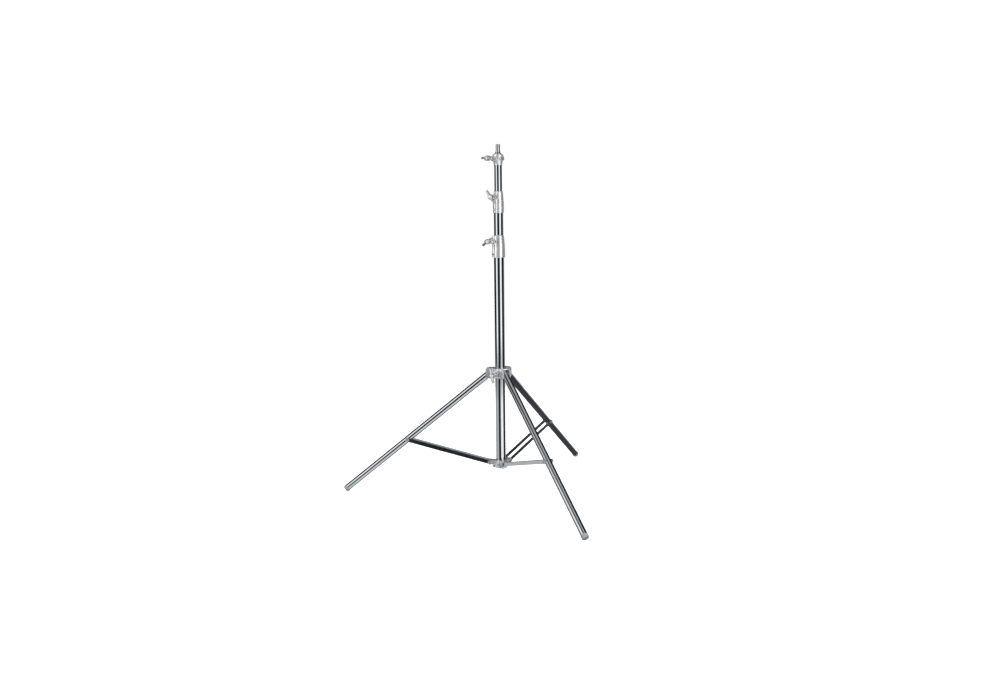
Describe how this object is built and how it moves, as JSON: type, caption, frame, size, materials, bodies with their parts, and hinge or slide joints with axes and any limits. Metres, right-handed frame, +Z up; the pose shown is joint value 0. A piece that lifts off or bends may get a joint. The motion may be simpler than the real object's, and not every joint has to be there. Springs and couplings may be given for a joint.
{
  "type": "telescoping lighting stand",
  "caption": "Free-standing chrome steel lighting stand: a column with telescoping risers clamped by T-handles, a top stud, and a braced tripod of folding tubular legs.",
  "frame": {"origin": "on the column axis at floor level, under the stud", "axes": "+Z up along the column towards the stud; -X towards the first leg; the other legs at 120 degrees"},
  "size_m": [0.9479, 1.0904, 1.341],
  "materials": {
    "chrome_tube": "polished chrome plate on drawn steel tube",
    "chrome_bar": "chrome plate on flat steel bar",
    "cast_alloy": "satin die-cast alloy",
    "cast_handle": "satin die-cast alloy",
    "plated_fastener": "zinc-plated",
    "stud_steel": "turned and nickel-plated",
    "black_nylon": "moulded",
    "grey_foot": "moulded, matt"
  },
  "bodies": {
    "column": {"column_tube": "chrome_tube", "column_end_plug": "black_nylon", "brace_spider": "cast_alloy", "brace_spider_rivets": "plated_fastener", "brace_pivot_bolts": "plated_fastener", "brace_pivot_nuts": "plated_fastener", "lower_collar": "cast_alloy", "lower_collar_screws": "plated_fastener"},
    "leg_spider": {"leg_spider": "cast_alloy", "leg_pivot_bolts": "plated_fastener", "leg_pivot_nuts": "plated_fastener"},
    "leg_1": {"leg_1_tube": "chrome_tube", "leg_1_plug": "cast_alloy", "leg_1_sleeve": "plated_fastener", "leg_1_foot": "grey_foot"},
    "leg_2": {"leg_2_tube": "chrome_tube", "leg_2_plug": "cast_alloy", "leg_2_sleeve": "plated_fastener", "leg_2_foot": "grey_foot"},
    "leg_3": {"leg_3_tube": "chrome_tube", "leg_3_plug": "cast_alloy", "leg_3_sleeve": "plated_fastener", "leg_3_foot": "grey_foot"},
    "brace_1": {"brace_1_bar_left": "chrome_bar", "brace_1_bar_right": "chrome_bar", "brace_1_rivets": "plated_fastener"},
    "brace_2": {"brace_2_bar_left": "chrome_bar", "brace_2_bar_right": "chrome_bar", "brace_2_rivets": "plated_fastener"},
    "brace_3": {"brace_3_bar_left": "chrome_bar", "brace_3_bar_right": "chrome_bar", "brace_3_rivets": "plated_fastener"},
    "riser_1_guide": {"riser_1_bush": "black_nylon"},
    "riser_1": {"riser_1_tube": "chrome_tube", "upper_collar": "cast_alloy", "upper_collar_screws": "plated_fastener"},
    "riser_2_guide": {"riser_2_bush": "black_nylon"},
    "riser_2": {"riser_2_tube": "chrome_tube", "head_receiver": "cast_alloy", "head_screw": "plated_fastener"},
    "stud": {"stud": "stud_steel"},
    "lower_lock_shoe": {"lower_lock_shoe": "black_nylon"},
    "lower_lock": {"lower_lock_screw": "plated_fastener", "lower_lock_handle": "cast_handle"},
    "upper_lock_shoe": {"upper_lock_shoe": "black_nylon"},
    "upper_lock": {"upper_lock_screw": "plated_fastener", "upper_lock_handle": "cast_handle"},
    "head_lock_shoe": {"head_lock_shoe": "black_nylon"},
    "head_lock": {"head_lock_screw": "plated_fastener", "head_lock_handle": "cast_handle"},
    "leg_lock_shoe": {"leg_lock_shoe": "black_nylon"},
    "leg_lock": {"leg_lock_screw": "plated_fastener", "leg_lock_handle": "cast_handle"}
  },
  "joints": [
    {"name": "leg_spider_slide", "type": "slide", "parent": "column", "child": "leg_spider", "axis": [0, 0, 1], "range_m": [0, 0.40167]},
    {"name": "leg_1_fold", "type": "hinge", "parent": "leg_spider", "child": "leg_1", "pos_m": [-0.0426, 0, 0.47385], "axis": [0, -1, 0], "range_deg": [0, 51.2]},
    {"name": "brace_1_fold", "type": "hinge", "parent": "column", "child": "brace_1", "pos_m": [-0.0426, 0, 0.1223], "axis": [0, 1, 0], "range_deg": [0, 74.61]},
    {"name": "leg_2_fold", "type": "hinge", "parent": "leg_spider", "child": "leg_2", "pos_m": [0.0213, -0.03689, 0.47385], "axis": [0.866, 0.5, 0], "range_deg": [0, 51.2]},
    {"name": "brace_2_fold", "type": "hinge", "parent": "column", "child": "brace_2", "pos_m": [0.0213, -0.03689, 0.1223], "axis": [-0.866, -0.5, 0], "range_deg": [0, 74.61]},
    {"name": "leg_3_fold", "type": "hinge", "parent": "leg_spider", "child": "leg_3", "pos_m": [0.0213, 0.03689, 0.47385], "axis": [-0.866, 0.5, 0], "range_deg": [0, 51.2]},
    {"name": "brace_3_fold", "type": "hinge", "parent": "column", "child": "brace_3", "pos_m": [0.0213, 0.03689, 0.1223], "axis": [0.866, -0.5, 0], "range_deg": [0, 74.61]},
    {"name": "riser_1_slide", "type": "slide", "parent": "column", "child": "riser_1_guide", "axis": [0, 0, 1], "range_m": [-0.08, 0.625]},
    {"name": "riser_1_swivel", "type": "hinge", "parent": "riser_1_guide", "child": "riser_1", "pos_m": [0, 0, 1], "axis": [0, 0, 1], "continuous": true},
    {"name": "riser_2_slide", "type": "slide", "parent": "riser_1", "child": "riser_2_guide", "axis": [0, 0, 1], "range_m": [-0.08, 0.65]},
    {"name": "riser_2_swivel", "type": "hinge", "parent": "riser_2_guide", "child": "riser_2", "pos_m": [0, 0, 1.2], "axis": [0, 0, 1], "continuous": true},
    {"name": "stud_lift", "type": "slide", "parent": "riser_2", "child": "stud", "axis": [0, 0, 1], "range_m": [0, 0.055]},
    {"name": "lower_lock_travel", "type": "slide", "parent": "column", "child": "lower_lock_shoe", "axis": [-0.7071, -0.7071, 0], "range_m": [0, 0.0019]},
    {"name": "lower_lock_turn", "type": "hinge", "parent": "lower_lock_shoe", "child": "lower_lock", "pos_m": [-0.02263, -0.02263, 0.981], "axis": [-0.7071, -0.7071, 0], "range_deg": [0, 450]},
    {"name": "upper_lock_travel", "type": "slide", "parent": "riser_1", "child": "upper_lock_shoe", "axis": [-0.4848, -0.8746, 0], "range_m": [0, 0.0019]},
    {"name": "upper_lock_turn", "type": "hinge", "parent": "upper_lock_shoe", "child": "upper_lock", "pos_m": [-0.01391, -0.0251, 1.146], "axis": [-0.4848, -0.8746, 0], "range_deg": [0, 450]},
    {"name": "head_lock_travel", "type": "slide", "parent": "riser_2", "child": "head_lock_shoe", "axis": [-0.6947, -0.7193, 0], "range_m": [0, 0.0019]},
    {"name": "head_lock_turn", "type": "hinge", "parent": "head_lock_shoe", "child": "head_lock", "pos_m": [-0.02014, -0.02086, 1.288], "axis": [-0.6947, -0.7193, 0], "range_deg": [0, 450]},
    {"name": "leg_lock_travel", "type": "slide", "parent": "leg_spider", "child": "leg_lock_shoe", "axis": [-0.454, -0.891, 0], "range_m": [0, 0.0019]},
    {"name": "leg_lock_turn", "type": "hinge", "parent": "leg_lock_shoe", "child": "leg_lock", "pos_m": [-0.01725, -0.03386, 0.47465], "axis": [-0.454, -0.891, 0], "range_deg": [0, 450]}
  ],
  "couplings": [
    {"joint": "leg_1_fold", "follows": "leg_spider_slide", "rad_per_m": 2.2204},
    {"joint": "brace_1_fold", "follows": "leg_spider_slide", "rad_per_m": 3.2376},
    {"joint": "leg_2_fold", "follows": "leg_spider_slide", "rad_per_m": 2.2204},
    {"joint": "brace_2_fold", "follows": "leg_spider_slide", "rad_per_m": 3.2376},
    {"joint": "leg_3_fold", "follows": "leg_spider_slide", "rad_per_m": 2.2204},
    {"joint": "brace_3_fold", "follows": "leg_spider_slide", "rad_per_m": 3.2376},
    {"joint": "lower_lock_travel", "follows": "lower_lock_turn", "m_per_rad": 0.00023873},
    {"joint": "upper_lock_travel", "follows": "upper_lock_turn", "m_per_rad": 0.00023873},
    {"joint": "head_lock_travel", "follows": "head_lock_turn", "m_per_rad": 0.00023873},
    {"joint": "leg_lock_travel", "follows": "leg_lock_turn", "m_per_rad": 0.00023873}
  ]
}
